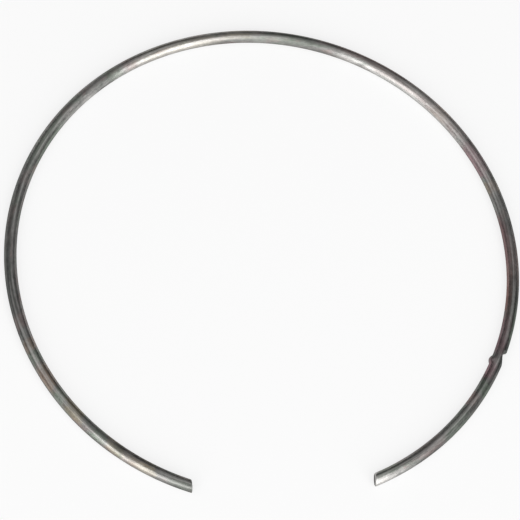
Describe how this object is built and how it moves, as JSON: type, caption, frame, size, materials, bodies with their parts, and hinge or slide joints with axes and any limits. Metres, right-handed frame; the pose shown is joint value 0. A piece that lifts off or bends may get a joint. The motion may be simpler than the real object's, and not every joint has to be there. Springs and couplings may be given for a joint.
{
  "type": "circlip retaining ring",
  "caption": "Open retaining ring of round spring wire with a wide parallel-sided gap and plain cut ends, for a groove in a bore.",
  "frame": {"origin": "centre of the ring, in the middle plane of the wire", "axes": "+Z along the ring's axis, up from the surface it lies on; the middle of the gap is towards -Y; +X to the right when the gap is nearest"},
  "size_m": [0.132, 0.1278, 0.0032],
  "materials": {
    "spring_steel": "drawn spring wire, darkened by oil and heat, satin"
  },
  "bodies": {
    "root": {"retaining_ring": "spring_steel"}
  },
  "joints": []
}
